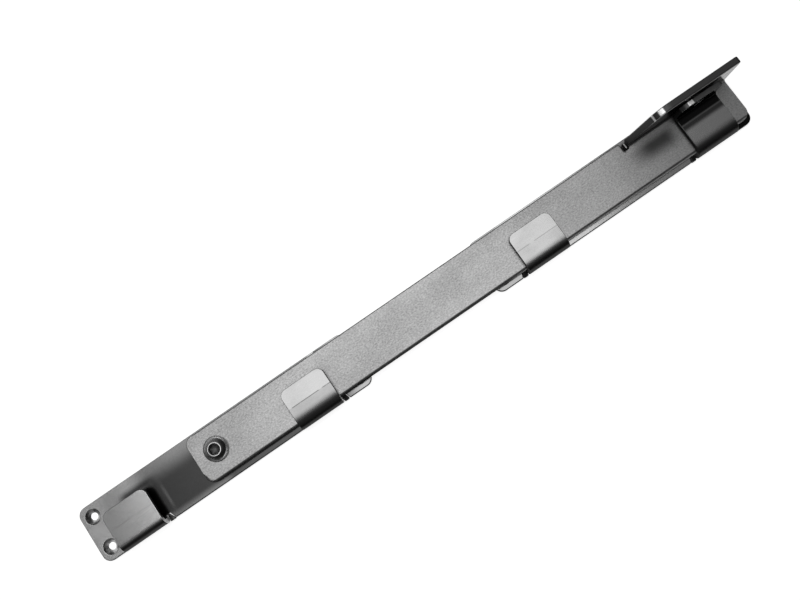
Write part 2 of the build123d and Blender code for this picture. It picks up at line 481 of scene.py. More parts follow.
def hook_path(tight_radius, loose_radius, loose_angle, reach=HOOK_RETURN):
    """Path of a hook: up out of the plate, then over the bar in a tight and then a looser bend."""
    sine = math.sin(math.radians(loose_angle))
    cosine = math.cos(math.radians(loose_angle))
    wall = HOOK_RISE - HOOK_BEND_RADIUS - tight_radius * cosine - loose_radius * (1 - cosine)
    tab = reach - tight_radius * (1 - sine) - loose_radius * sine
    return [
        ("bend", HOOK_BEND_RADIUS, 90.0),
        ("run", wall),
        ("bend", tight_radius, 90.0 - loose_angle),
        ("bend", loose_radius, loose_angle),
        ("run", tab),
    ]


PARKING_HOOK_PATH = hook_path(tight_radius=4.5, loose_radius=14.0, loose_angle=14.0)
PIVOT_SIDE_HOOK_PATH = hook_path(tight_radius=4.5, loose_radius=24.0, loose_angle=22.0)
KEEPER_SIDE_HOOK_PATH = hook_path(tight_radius=5.5, loose_radius=14.0, loose_angle=20.0)
LUG_HOOK_PATH = hook_path(tight_radius=6.5, loose_radius=18.0, loose_angle=20.0, reach=LUG_RETURN) + [
    ("bend", LUG_BEND_RADIUS, -90.0),
    ("run", LUG_RISE),
]


def hook_corners(flap_low, flap_high, flap_end, free_corners, bend_start, bottom):
    """Outline of one hook laid flat: its notch, its free end and the slit on its other side."""
    return [
        corner(flap_low - NOTCH_MOUTH_WIDTH, bottom, MOUTH_ROUND, LOWER_EDGE_ROUND),
        corner(flap_low - NOTCH_INNER_WIDTH, bend_start, NOTCH_ROUND),
        corner(flap_low, bend_start, NOTCH_ROUND),
        corner(flap_low, flap_end, free_corners[0]),
        corner(flap_high, flap_end, free_corners[1]),
        corner(flap_high, bend_start, SLIT_END_ROUND),
        corner(flap_high + SLIT_WIDTH, bend_start, SLIT_END_ROUND),
        corner(flap_high + SLIT_WIDTH, bottom, MOUTH_ROUND, LOWER_EDGE_ROUND),
    ]


def hook_flap(side, flap_low, flap_high, bend_start, path):
    """Where one hook's flap lies on the flat metal, and the path along which it is bent."""
    edges = sorted((side * (flap_low - FOLD_PAST_NOTCH_SIDE), side * (flap_high + FOLD_PAST_SLIT_SIDE)))
    return {
        "low_x": edges[0],
        "high_x": edges[1],
        "start": bend_start,
        "heading": -1.0,
        "path": path,
    }


def fixing_holes(side, inner_end, outer_end, middle_y):
    """The four countersunk holes near a plate's ends."""
    holes = []
    for x in (inner_end + FIXING_HOLE_INSET, outer_end - FIXING_HOLE_INSET):
        for y in (middle_y - FIXING_HOLE_SPACING / 2, middle_y + FIXING_HOLE_SPACING / 2):
            holes.append(countersunk_hole(side * x, y, SHEET / 2))
    return holes


def plate(name, node, side, inner_path, outer_path, outer_corners, outer_inset, lumps):
    """Builds one plate; side is -1 for the pivot plate and 1 for the keeper plate."""
    low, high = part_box(node)
    outer_end = max(abs(low.x), abs(high.x)) / MM
    inner_end = min(abs(low.x), abs(high.x)) / MM
    top = high.y / MM
    bend_start = low.y / MM + HOOK_BEND_START
    bottom = low.y / MM + LOWER_EDGE_INSET
    hooks = [
        (inner_end + INNER_HOOK_INSET, inner_path, (TAB_CORNER, TAB_CORNER)),
        (outer_end - outer_inset, outer_path, outer_corners),
    ]
    corners = [corner(inner_end, bottom, PLATE_CORNER, LOWER_EDGE_ROUND)]
    flaps = []
    torn = []
    for (hook_x, path, free_corners), gaps in zip(hooks, lumps):
        flap_low = hook_x - HOOK_LENGTH / 2
        flap_high = hook_x + HOOK_LENGTH / 2
        flap_end = bend_start - path_length(path)
        sides = [flap_low - gap for gap in gaps]
        torn.append(torn_lump(*sides, bottom - LUMP_PAST_EDGE, bend_start - LUMP_INNER_GAP))
        corners += hook_corners(flap_low, flap_high, flap_end, free_corners, bend_start, bottom)
        flaps.append(hook_flap(side, flap_low, flap_high, bend_start, path))
    corners += [
        corner(outer_end, bottom, PLATE_CORNER, LOWER_EDGE_ROUND, SHEET_EDGE_ROUND),
        corner(outer_end, top, PLATE_CORNER),
        corner(inner_end, top, PLATE_CORNER),
    ]
    if side < 0:
        corners = mirrored(corners)
        torn = [mirrored(lump) for lump in torn]
    loops = [edge_rings(outline_points(corners), SHEET / 2)]
    loops += fixing_holes(side, inner_end, outer_end, (top + bottom) / 2)
    if side < 0:
        pivot = PIVOT_PLACE / MM
        loops.append(round_hole(pivot.x, pivot.y, BUSH_SPIGOT_RADIUS, SHEET / 2))
    else:
        hole_s = bend_start - path_length(outer_path) + LUG_RISE - LUG_HOLE_RISE
        hole_x = outer_end - outer_inset
        loops.append(round_hole(hole_x, hole_s, PADLOCK_HOLE_RADIUS, SHEET / 2, LUG_HOLE_EDGE_ROUND))
    islands = [loops] + [[edge_rings(outline_points(lump), LUMP_HALF_THICKNESS)] for lump in torn]
    piece = bent_metal(name, islands, flaps, SHEET / 2)
    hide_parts(node)
    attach(piece, "base")
    return piece


pivot_plate = plate(
    "pivot_plate_bent",
    "pivot_plate",
    -1,
    PIVOT_SIDE_HOOK_PATH,
    PARKING_HOOK_PATH,
    (TAB_CORNER, TAB_CORNER),
    PARKING_HOOK_INSET,
    (PIVOT_SIDE_LUMP, PARKING_LUMP),
)
keeper_plate = plate(
    "keeper_plate_bent",
    "keeper_plate",
    1,
    KEEPER_SIDE_HOOK_PATH,
    LUG_HOOK_PATH,
    (LUG_INBOARD_CORNER, LUG_OUTBOARD_CORNER),
    LUG_HOOK_INSET,
    (KEEPER_SIDE_LUMP, KEEPER_SIDE_LUMP),
)


# The bar and its padlock lug

def bar_corners(low, high, bend_start, lug_straight, lug_top):
    """Outline of the bar laid flat: rolled long edges, the lug with its slant, and the notch."""
    foot_x = high.x - BAR_LUG_LENGTH
    notch_x = foot_x - BAR_NOTCH_WIDTH
    cut = BAR_CUT_EDGE_ROUND
    notch = BAR_NOTCH_EDGE_ROUND
    rolled = BAR_ROLLED_EDGE_ROUND
    wear_and_sheen = LUG_TOP_EDGE_ROUND
    return [
        corner(low.x, low.y, BAR_CORNER, rolled, rolled),
        corner(high.x, low.y, BAR_CORNER, cut, cut),
        corner(high.x, lug_top, LUG_OUTBOARD_CORNER, wear_and_sheen, wear_and_sheen),
        corner(foot_x + BAR_LUG_LEAN, lug_top, BAR_LUG_CORNER, wear_and_sheen, wear_and_sheen),
        corner(foot_x, lug_straight, BAR_LUG_FOOT_FILLET, cut, cut),
        corner(foot_x, bend_start, NOTCH_ROUND, cut, notch),
        corner(notch_x, bend_start, NOTCH_ROUND, notch),
        corner(notch_x, high.y, notch, notch, BAR_FAR_EDGE_ROUND),
        corner(low.x, high.y, BAR_CORNER, cut, cut),
    ]


def bar_lump(high, bend_start):
    """Outline of the torn metal in the notch at the lug's foot."""
    foot_x = high.x - BAR_LUG_LENGTH
    notch_x = foot_x - BAR_NOTCH_WIDTH
    return torn_lump(
        notch_x + BAR_LUMP_SIDE_GAPS[0],
        foot_x - BAR_LUMP_FOOT_GAP,
        notch_x + BAR_LUMP_SIDE_GAPS[1],
        foot_x - BAR_LUMP_FOOT_GAP,
        bend_start + BAR_LUMP_INNER_GAP,
        high.y - BAR_LUMP_MOUTH_GAP,
    )


def swing_bar():
    """Builds the flat bar, with rolled long edges and the lug bent up at its far end."""
    low, high = box_in_mm("bar")
    bend_start = high.y - BAR_BEND_SETBACK
    lug_path = [("bend", BAR_BEND_RADIUS, 90.0), ("run", BAR_LUG_RISE)]
    lug_top = bend_start + path_length(lug_path)
    lug_straight = bend_start + bend_length(BAR_BEND_RADIUS)
    half = BAR_THICKNESS / 2
    outline = outline_points(bar_corners(low, high, bend_start, lug_straight, lug_top))
    pivot = PIVOT_PLACE / MM
    hole_x = high.x - BAR_LUG_HOLE_INSET
    hole_s = lug_straight + BAR_LUG_HOLE_RISE
    loops = [
        edge_rings(outline, half, BAR_EDGE_STEPS),
        round_hole(pivot.x, pivot.y, BAR_BORE_RADIUS, half, HOLE_EDGE_ROUND, 64),
        round_hole(hole_x, hole_s, PADLOCK_HOLE_RADIUS, half, BAR_LUG_HOLE_EDGE_ROUND),
    ]
    flaps = [{
        "low_x": high.x - BAR_LUG_LENGTH - FOLD_PAST_BAR_LUG,
        "high_x": high.x + FOLD_PAST_BAR_LUG,
        "start": bend_start,
        "heading": 1.0,
        "path": lug_path,
    }]
    lump = edge_rings(outline_points(bar_lump(high, bend_start)), BAR_LUMP_HALF_THICKNESS)
    piece = bent_metal("bar_with_lug", [loops, [lump]], flaps, low.z + half)
    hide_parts("bar")
    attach(piece, "swing_bar")
    return piece


bar = swing_bar()


# The pivot screw

def head_profile(head_radius, seat, top):
    """Radius and height of the screw's head, from its underside up over the dome."""
    rim_top = seat + HEAD_RIM_HEIGHT
    profile = [
        (head_radius - HEAD_RIM_ROUND, seat),
        (head_radius - HEAD_RIM_ROUND_MIDDLE, seat + HEAD_RIM_ROUND_MIDDLE),
        (head_radius, seat + HEAD_RIM_ROUND),
        (head_radius, rim_top - HEAD_RIM_BLEND),
    ]
    # The dome is an arc through the rim and the edge of the flat crown
    foot = Vector((head_radius, rim_top))
    crown = Vector((HEAD_CROWN_RADIUS, top))
    chord = crown - foot
    arc_radius = chord.length ** 2 / (8 * HEAD_BULGE) + HEAD_BULGE / 2
    outward = Vector((chord.y, -chord.x)).normalized()
    arc_centre = (foot + crown) / 2 - outward * (arc_radius - HEAD_BULGE)
    start = math.atan2(foot.y - arc_centre.y, foot.x - arc_centre.x)
    end = math.atan2(crown.y - arc_centre.y, crown.x - arc_centre.x)
    for step in range(DOME_STEPS + 1):
        angle = start + (end - start) * step / DOME_STEPS
        radius = arc_centre.x + arc_radius * math.cos(angle)
        height = arc_centre.y + arc_radius * math.sin(angle)
        profile.append((min(radius, head_radius), min(height, top)))
    return profile


def hexagon_radius(angle):
    """Distance from the socket's centre to its wall, in one direction."""
    wedge = (angle + math.pi / 6) % (math.pi / 3) - math.pi / 6
    return SOCKET_HALF_WIDTH / math.cos(wedge)


def button_screw():
    """Builds the domed screw with its chamfered hexagon socket."""
    low, high = box_in_mm("pivot_screw")
    centre = (low + high) / 2
    top = high.z
    seat = top - HEAD_HEIGHT
    mesh_data = bmesh.new()
    shading = mesh_data.verts.layers.float.new("cut_edge")

    def ring(radius_at, height_at, mask=0.0):
        row = []
        for index in range(SCREW_SIDES):
            angle = 2 * math.pi * index / SCREW_SIDES
            radius = radius_at(angle)
            x = centre.x + radius * math.cos(angle)
            y = centre.y + radius * math.sin(angle)
            vert = mesh_data.verts.new((x * MM, y * MM, height_at(angle) * MM))
            vert[shading] = mask
            row.append(vert)
        return row

    def plain(radius, height, mask=0.0):
        return ring(lambda angle: radius, lambda angle: height, mask)

    rows = [
        plain(SHANK_RADIUS - SHANK_CHAMFER, low.z),
        plain(SHANK_RADIUS, low.z + SHANK_CHAMFER),
        plain(SHANK_RADIUS, seat),
    ]
    for radius, height in head_profile((high.x - low.x) / 2, seat, top):
        rows.append(plain(radius, height))
    for radius, depth in SOCKET_MOUTH_PROFILE:
        rows.append(plain(radius, top - depth))
    rows.append(ring(hexagon_radius, lambda angle: top - (SOCKET_MOUTH_RADIUS - hexagon_radius(angle))))
    for depth in SOCKET_WALL_DEPTHS:
        rows.append(ring(hexagon_radius, lambda angle: top - depth, 1.0))
    for radius, depth in SOCKET_FLOOR_PROFILE:
        rows.append(plain(radius, top - depth, 1.0))
    for below, above in zip(rows, rows[1:]):
        for index in range(SCREW_SIDES):
            following = (index + 1) % SCREW_SIDES
            mesh_data.faces.new((below[index], below[following], above[following], above[index]))
    mesh_data.faces.new(rows[-1])
    mesh_data.faces.new(list(reversed(rows[0])))
    bmesh.ops.recalc_face_normals(mesh_data, faces=mesh_data.faces[:])
    mesh = bpy.data.meshes.new("pivot_button_screw")
    mesh_data.to_mesh(mesh)
    mesh_data.free()
    mesh.polygons.foreach_set("use_smooth", [True] * len(mesh.polygons))
    mesh.set_sharp_from_angle(angle=SMOOTH_ANGLE)
    piece = bpy.data.objects.new("pivot_button_screw", mesh)
    bpy.context.scene.collection.objects.link(piece)
    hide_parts("pivot_screw")
    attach(piece, "base")
    return piece


screw = button_screw()


# Shader building helpers

def add_node(tree, kind, inputs=None, **settings):
    """Adds a node with its settings, and with numbers or links on its inputs."""
    node = tree.nodes.new(kind)
    for name, value in settings.items():
        setattr(node, name, value)
    for name, value in (inputs or {}).items():
        if isinstance(value, bpy.types.NodeSocket):
            tree.links.new(value, node.inputs[name])
        else:
            node.inputs[name].default_value = value
    return node


def math_node(tree, operation, first, second=0.0, clamp=False):
    """Adds a maths node and returns its result."""
    node = add_node(tree, "ShaderNodeMath", {0: first, 1: second}, operation=operation, use_clamp=clamp)
    return node.outputs[0]


def times(tree, *factors):
    """Several factors multiplied together."""
    result = factors[0]
    for factor in factors[1:]:
        result = math_node(tree, "MULTIPLY", result, factor)
    return result


def blend_colours(tree, factor, first, second, mode="MIX"):
    """Mixes two colours and returns the result."""
    inputs = {0: factor, 6: first, 7: second}
    return add_node(tree, "ShaderNodeMix", inputs, data_type="RGBA", blend_type=mode).outputs[2]


def span(tree, value, low, high, to_low=0.0, to_high=1.0, smooth=True):
    """Maps a value from one span to another, held at the ends."""
    node = add_node(
        tree,
        "ShaderNodeMapRange",
        {"Value": value, "From Min": low, "From Max": high, "To Min": to_low, "To Max": to_high},
        interpolation_type="SMOOTHSTEP" if smooth else "LINEAR",
        clamp=True,
    )
    return node.outputs["Result"]


def fade(tree, value, start, end, to_start=0.0, to_end=1.0):
    """Goes smoothly from one level to another between two places in millimetres."""
    return span(tree, value, start * MM, end * MM, to_start, to_end)


def band(tree, value, low, high, soft_low, soft_high=None):
    """One between two places in millimetres, fading to nothing beyond them."""
    soft_high = soft_low if soft_high is None else soft_high
    rise = fade(tree, value, low - soft_low, low + soft_low)
    fall = fade(tree, value, high + soft_high, high - soft_high)
    return times(tree, rise, fall)


def noise(tree, place, scale, detail=2.0, roughness=0.5, distortion=0.0):
    """An irregular pattern over a place, as one number."""
    inputs = {"Vector": place, "Scale": scale, "Detail": detail}
    inputs.update({"Roughness": roughness, "Distortion": distortion})
    return add_node(tree, "ShaderNodeTexNoise", inputs).outputs["Fac"]


def place_on_object(tree):
    """The place on the object in metres."""
    return add_node(tree, "ShaderNodeTexCoord").outputs["Object"]


def place_axes(tree):
    """The place on the object in metres, along each axis."""
    axes = add_node(tree, "ShaderNodeSeparateXYZ", {0: place_on_object(tree)})
    return axes.outputs["X"], axes.outputs["Y"], axes.outputs["Z"]


def stretched_place(group, source):
    """The place on the object, drawn out along the latch by the group's own Stretch value."""
    inputs = {"X": source.outputs["Stretch"], "Y": 1.0, "Z": 1.0}
    stretch = add_node(group, "ShaderNodeCombineXYZ", inputs).outputs[0]
    factors = {0: place_on_object(group), 1: stretch}
    return add_node(group, "ShaderNodeVectorMath", factors, operation="MULTIPLY").outputs[0]


def new_group(name, inputs, outputs):
    """Starts a shader node group with named sockets."""
    group = bpy.data.node_groups.new(name, "ShaderNodeTree")
    for socket_name, kind, default in inputs:
        socket = group.interface.new_socket(socket_name, in_out="INPUT", socket_type=kind)
        socket.default_value = default
    for socket_name, kind in outputs:
        group.interface.new_socket(socket_name, in_out="OUTPUT", socket_type=kind)
    return group, group.nodes.new("NodeGroupInput"), group.nodes.new("NodeGroupOutput")


def place_group(tree, group, inputs):
    """Places a node group in a material with its own values."""
    return add_node(tree, "ShaderNodeGroup", inputs, node_tree=group)


def grey(value):
    """A neutral grey."""
    return (value, value, value, 1.0)


FLOAT = "NodeSocketFloat"
COLOUR = "NodeSocketColor"


# Effects that the steels share

CLOUD_SPAN = (0.34, 0.66)
SPECK_SPAN = (0.3, 0.7)


def build_cloudy_steel():
    """Cloudy light and dark areas of bare steel, with fine specks."""
    group, source, result = new_group(
        "cloudy steel",
        [
            ("Dark", COLOUR, grey(0.4)),
            ("Light", COLOUR, grey(0.6)),
            ("Cloud Scale", FLOAT, 60.0),
            ("Cloud Strength", FLOAT, 1.0),
            ("Speck Scale", FLOAT, 900.0),
            ("Speck Strength", FLOAT, 0.3),
            ("Stretch", FLOAT, 1.0),
        ],
        [("Color", COLOUR), ("Clouds", FLOAT)],
    )
    place = stretched_place(group, source)
    clouds = noise(group, place, source.outputs["Cloud Scale"], detail=5.0, roughness=0.6)
    specks = noise(group, place, source.outputs["Speck Scale"], detail=2.0, roughness=0.6)
    clouds = span(group, clouds, *CLOUD_SPAN)
    specks = span(group, specks, *SPECK_SPAN, smooth=False)
    cloudy = times(group, math_node(group, "SUBTRACT", clouds, 0.5), source.outputs["Cloud Strength"])
    specked = times(group, math_node(group, "SUBTRACT", specks, 0.5), source.outputs["Speck Strength"])
    mask = math_node(group, "ADD", math_node(group, "ADD", cloudy, specked), 0.5, clamp=True)
    colour = blend_colours(group, mask, source.outputs["Dark"], source.outputs["Light"])
    group.links.new(colour, result.inputs["Color"])
    group.links.new(clouds, result.inputs["Clouds"])
    return group


DENT_SCALE = 160.0


def build_rolled_grain():
    """Height of the fine grain of rolled metal, with wide shallow dents."""
    group, source, result = new_group(
        "rolled grain",
        [("Scale", FLOAT, 1500.0), ("Stretch", FLOAT, 1.0), ("Dents", FLOAT, 0.3)],
        [("Height", FLOAT)],
    )
    place = stretched_place(group, source)
    grain = noise(group, place, source.outputs["Scale"], detail=3.0, roughness=0.65)
    dents = times(group, noise(group, place, DENT_SCALE), source.outputs["Dents"])
    group.links.new(math_node(group, "ADD", grain, dents), result.inputs["Height"])
    return group


# Spans of the cut_edge value that count as cut, as drilled, and as the rounding between flat and cut
CUT_SPAN = (0.4, 0.8)
DRILLED_SPAN = (-0.1, -0.6)
ROUNDED_RISE = (0.05, 0.4)
ROUNDED_FALL = (0.9, 0.7)
EDGE_PATCH_SCALE = 220.0
WEAR_AND_SHEEN_PATCH_SPAN = (0.35, 0.6)
TURNED_PATCH_SPAN = (0.4, 0.6)


def build_cut_edge():
    """Darker cut edges, partly their own colour and partly painted shade, a lighter line of wear and
    painted sheen where the edge is rounded, and drilled surfaces.
    """
    group, source, result = new_group(
        "cut edge",
        [
            ("Color", COLOUR, grey(0.5)),
            ("Cut Color", COLOUR, grey(0.2)),
            ("Wear And Sheen Color", COLOUR, grey(0.7)),
            ("Drilled Color", COLOUR, grey(0.6)),
            ("Wear And Sheen", FLOAT, 0.5),
        ],
        [("Color", COLOUR), ("Cut", FLOAT), ("Drilled", FLOAT)],
    )
    mask = add_node(group, "ShaderNodeAttribute", attribute_name="cut_edge").outputs["Fac"]
    patchy = noise(group, place_on_object(group), EDGE_PATCH_SCALE, detail=4.0)
    cut = span(group, mask, *CUT_SPAN)
    drilled = span(group, mask, *DRILLED_SPAN)
    rounded = times(group, span(group, mask, *ROUNDED_RISE), span(group, mask, *ROUNDED_FALL))
    # The lighter line on a rounded edge is partly wear and partly painted sheen
    wear_and_sheen = times(group, rounded, span(group, patchy, *WEAR_AND_SHEEN_PATCH_SPAN), source.outputs["Wear And Sheen"])
    turned = span(group, patchy, *TURNED_PATCH_SPAN)
    turned = blend_colours(group, turned, source.outputs["Color"], source.outputs["Drilled Color"])
    colour = blend_colours(group, cut, source.outputs["Color"], source.outputs["Cut Color"])
    colour = blend_colours(group, wear_and_sheen, colour, source.outputs["Wear And Sheen Color"])
    colour = blend_colours(group, drilled, colour, turned)
    group.links.new(colour, result.inputs["Color"])
    group.links.new(cut, result.inputs["Cut"])
    group.links.new(drilled, result.inputs["Drilled"])
    return group


# Angle and offset of each set of scratches, how they are drawn out, how thin they are and where they show
SCRATCH_SETS = ((0.35, 1.3), (-0.6, 4.1), (1.2, 7.7))
SCRATCH_STRETCH = (0.12, 3.0, 1.0)
SCRATCH_SPAN = (0.012, 0.0)
SCRATCHED_PATCH_SCALE = 35.0
SCRATCHED_PATCH_SPAN = (0.5, 0.62)


def build_scratches():
    """Thin scattered scratches along the metal."""
    group, source, result = new_group(
        "scratches", [("Scale", FLOAT, 60.0), ("Amount", FLOAT, 0.5)], [("Scratch", FLOAT)]
    )
    place = place_on_object(group)
    total = 0.0
    for angle, offset in SCRATCH_SETS:
        inputs = {"Vector": place, "Rotation": (0.0, 0.0, angle), "Location": (offset, offset, offset)}
        inputs["Scale"] = SCRATCH_STRETCH
        turned = add_node(group, "ShaderNodeMapping", inputs).outputs[0]
        lines = noise(group, turned, source.outputs["Scale"], detail=2.0, distortion=0.2)
        from_middle = math_node(group, "ABSOLUTE", math_node(group, "SUBTRACT", lines, 0.5))
        total = math_node(group, "MAXIMUM", total, span(group, from_middle, *SCRATCH_SPAN))
    patches = span(group, noise(group, place, SCRATCHED_PATCH_SCALE), *SCRATCHED_PATCH_SPAN)
    shown = times(group, total, patches, source.outputs["Amount"])
    group.links.new(shown, result.inputs["Scratch"])
    return group


# Places in millimetres on and around one hook, and the pattern that breaks up its scribed line
MARKS_REACH = (HOOK_LENGTH / 2 + 1.5, HOOK_LENGTH / 2 + 0.5)
MARKS_HEIGHT = (4.2, 6.0)
LINE_SIDES = (-0.5, 0.5)
LINE_WIDTH = (0.55, 0.15)
LINE_BREAK_SCALE = 130.0
LINE_BREAK_SPAN = (0.36, 0.5)


def build_hook_marks():
    """Marks on one hook: a scribed bend line on its tab, and painted shade on its bent wall."""
    group, source, result = new_group(
        "hook marks",
        [
            ("Color", COLOUR, grey(0.5)),
            ("Hook Place", FLOAT, 0.0),
            ("Line Place", FLOAT, 0.0),
            ("Line Strength", FLOAT, 0.5),
            ("Above Line", FLOAT, 1.0),
            ("Below Line", FLOAT, 1.0),
            ("Wall", FLOAT, 0.3),
            ("Wall Start", FLOAT, -0.0204),
            ("Wall End", FLOAT, -0.0226),
        ],
        [("Color", COLOUR), ("Wall", FLOAT)],
    )
    x, y, z = place_axes(group)
    across = math_node(group, "ABSOLUTE", math_node(group, "SUBTRACT", x, source.outputs["Hook Place"]))
    here = times(group, fade(group, across, *MARKS_REACH), fade(group, z, *MARKS_HEIGHT))
    from_line = math_node(group, "SUBTRACT", y, source.outputs["Line Place"])
    above = fade(group, from_line, *LINE_SIDES)
    below = math_node(group, "SUBTRACT", 1.0, above)
    lighter = times(group, above, source.outputs["Above Line"])
    darker = times(group, below, source.outputs["Below Line"])
    level = math_node(group, "ADD", lighter, darker)
    breaks = noise(group, place_on_object(group), LINE_BREAK_SCALE)
    line = fade(group, math_node(group, "ABSOLUTE", from_line), *LINE_WIDTH)
    line = times(group, line, span(group, breaks, *LINE_BREAK_SPAN), source.outputs["Line Strength"])
    level = times(group, level, math_node(group, "SUBTRACT", 1.0, line))
    # The bent wall is painted darker, as shade
    wall = span(group, y, source.outputs["Wall Start"], source.outputs["Wall End"])
    level = times(group, level, math_node(group, "SUBTRACT", 1.0, wall))
    level = math_node(group, "ADD", level, times(group, wall, source.outputs["Wall"]))
    level = times(group, level, here)
    level = math_node(group, "ADD", level, math_node(group, "SUBTRACT", 1.0, here))
    colour = blend_colours(group, 1.0, source.outputs["Color"], level, "MULTIPLY")
    group.links.new(colour, result.inputs["Color"])
    group.links.new(times(group, wall, here), result.inputs["Wall"])
    return group


def build_dark_lug():
    """A lug is smoother than the flat metal that it stands on, and painted darker as shade for the dark
    surroundings it reflects.
    """
    group, source, result = new_group(
        "dark lug",
        [
            ("Color", COLOUR, grey(0.5)),
            ("Roughness", FLOAT, 0.3),
            ("Foot Height", FLOAT, 0.012),
            ("Lug Height", FLOAT, 0.016),
            ("Lug Shade Color", COLOUR, grey(0.3)),
            ("Lug Roughness", FLOAT, 0.15),
        ],
        [("Color", COLOUR), ("Roughness", FLOAT)],
    )
    z = place_axes(group)[2]
    lug = span(group, z, source.outputs["Foot Height"], source.outputs["Lug Height"])
    flat = math_node(group, "SUBTRACT", 1.0, lug)
    colour = blend_colours(group, lug, source.outputs["Color"], source.outputs["Lug Shade Color"])
    rough = times(group, source.outputs["Roughness"], flat)
    rough = math_node(group, "ADD", rough, times(group, lug, source.outputs["Lug Roughness"]))
    group.links.new(colour, result.inputs["Color"])
    group.links.new(rough, result.inputs["Roughness"])
    return group


CLOUDY_STEEL = build_cloudy_steel()
ROLLED_GRAIN = build_rolled_grain()
CUT_EDGE = build_cut_edge()
SCRATCHES = build_scratches()
HOOK_MARKS = build_hook_marks()
DARK_LUG = build_dark_lug()


# Marks, painted shade and painted highlights; places are in millimetres

WALL_ROUGHER = 0.14
# Grey of the lugs, painted dark as shade
LUG_SHADE_GREY = 0.2
LUG_ROUGHNESS = 0.12
PLATE_TOP_Z = (6.0, 4.6)
TAB_FOOT_Z = (10.0, 12.0)
GLINT_GREY = 0.95


def hook_marks(tree, colour, rough, hook_x, line_y, strength, above, below, wall, wall_y):
    """Places the marks of one hook, with its places in millimetres."""
    marks = place_group(tree, HOOK_MARKS, {
        "Color": colour,
        "Hook Place": hook_x * MM,
        "Line Place": line_y * MM,
        "Line Strength": strength,
        "Above Line": above,
        "Below Line": below,
        "Wall": wall,
        "Wall Start": wall_y[0] * MM,
        "Wall End": wall_y[1] * MM,
    })
    rough = math_node(tree, "ADD", rough, times(tree, marks.outputs["Wall"], WALL_ROUGHER))
    return marks.outputs["Color"], rough


def dark_lug(tree, colour, rough, foot_z, lug_z):
    """Makes the metal smooth from a lug's foot upwards and paints it dark as shade, with heights in
    millimetres.
    """
    lug = place_group(tree, DARK_LUG, {
        "Color": colour,
        "Roughness": rough,
        "Foot Height": foot_z * MM,
        "Lug Height": lug_z * MM,
        "Lug Shade Color": grey(LUG_SHADE_GREY),
        "Lug Roughness": LUG_ROUGHNESS,
    })
    return lug.outputs["Color"], lug.outputs["Roughness"]


def paint(tree, colour, *layers):
    """Lays greys over a colour, each through its own mask."""
    for mask, tone in layers:
        colour = blend_colours(tree, mask, colour, grey(tone))
    return colour


def patch(tree, x_span, y_span):
    """A soft-edged rectangle on the top of a flat plate; each span is low, high, softness."""
    x, y, z = place_axes(tree)
    return times(tree, band(tree, x, *x_span), band(tree, y, *y_span), fade(tree, z, *PLATE_TOP_Z))


def area(x_span, y_span, tone, strength=1.0, rougher=0.0):
    """A painted area: its spans, its grey, how strongly it shows and how much rougher it is."""
    return {"x": x_span, "y": y_span, "tone": tone, "strength": strength, "rougher": rougher}


def paint_areas(tree, colour, rough, areas):
    """Paints the areas of one plate's flat top, in their order."""
    for item in areas.values():
        mask = patch(tree, item["x"], item["y"])
        colour = paint(tree, colour, (times(tree, mask, item["strength"]), item["tone"]))
        if item["rougher"]:
            rough = math_node(tree, "ADD", rough, times(tree, mask, item["rougher"]))
    return colour, rough


# The pivot plate's marks and painted shade

WHOLE_DEPTH = (-40.0, 40.0, 1.0)
TORN_DEPTH = (-25.0, -18.2, 0.2)
# Painted shade between the hooks, darker towards the hooks' edge, with a lighter strip near that edge at
# the bar's end
BETWEEN_HOOKS = (-268.0, -97.0, 12.0, 3.0)
BETWEEN_HOOKS_TONE = {"start": -15.0, "end": 18.0, "to_start": 0.055, "to_end": 0.155}
LIGHTER_STRIP_X = (-196.0, -206.0)
LIGHTER_STRIP_Y = (-14.0, -18.0)
LIGHTER_STRIP_TONE = 0.06
# Painted shade on the inner end, darker towards the inner hook
PIVOT_INNER_END = (-91.0, -40.0, 1.0)
PIVOT_INNER_END_TONE = {"start": -93.0, "end": -72.0, "to_start": 0.08, "to_end": 0.28}
# Areas on the pivot plate's top: the bay, the spots above and beside the parking hook and the torn metal
# in the notches are painted dark as shade
PIVOT_PLATE_AREAS = {
    "painted shade in the bay between hook and bar": area((-262.0, -180.0, 14.0, 10.0), (-20.5, 14.0, 3.0, 9.0), 0.035),
    "shade above the parking hook": area((-285.0, -255.0, 6.0, 8.0), (10.0, 15.5, 3.0), 0.02, 0.9),
    "shade beside the parking hook": area((-268.0, -253.5, 9.0, 2.5), (-18.5, 11.0, 2.0, 6.0), 0.03),
    "light streak in the bay": area((-252.6, -250.4, 0.9), (-15.0, 3.0, 5.0, 6.0), 0.09, 0.6),
    "bright outer end": area((-400.0, -303.0, 1.0, 12.0), WHOLE_DEPTH, 0.68),
    "painted shade on the torn metal at the parking hook": area(
        (PARKING_NOTCH_X + 1.3, PARKING_NOTCH_X + 3.5, 0.3), (-40.0, -18.15, 0.25), 0.05
    ),
    "painted shade on the torn metal at the inner hook": area(
        (PIVOT_SIDE_NOTCH_X + 0.5, PIVOT_SIDE_NOTCH_X + 5.1, 0.2, 0.3), TORN_DEPTH, 0.02, rougher=0.4
    ),
}
PARKING_HOOK_MARKS = {
    "hook_x": PARKING_HOOK_X,
    "line_y": -4.7,
    "strength": 0.15,
    "above": 1.1,
    "below": 1.1,
    "wall": 0.16,
    "wall_y": (-17.5, -21.5),
}
PIVOT_SIDE_HOOK_MARKS = {
    "hook_x": -INNER_HOOK_X,
    "line_y": -5.3,
    "strength": 0.6,
    "above": 0.86,
    "below": 0.68,
    "wall": 0.13,
    "wall_y": (-10.5, -18.5),
}
SIDE_FACE_REACH = (-0.12, 0.2, 0.1)
SIDE_FACE_Y = (-18.0, -19.0)


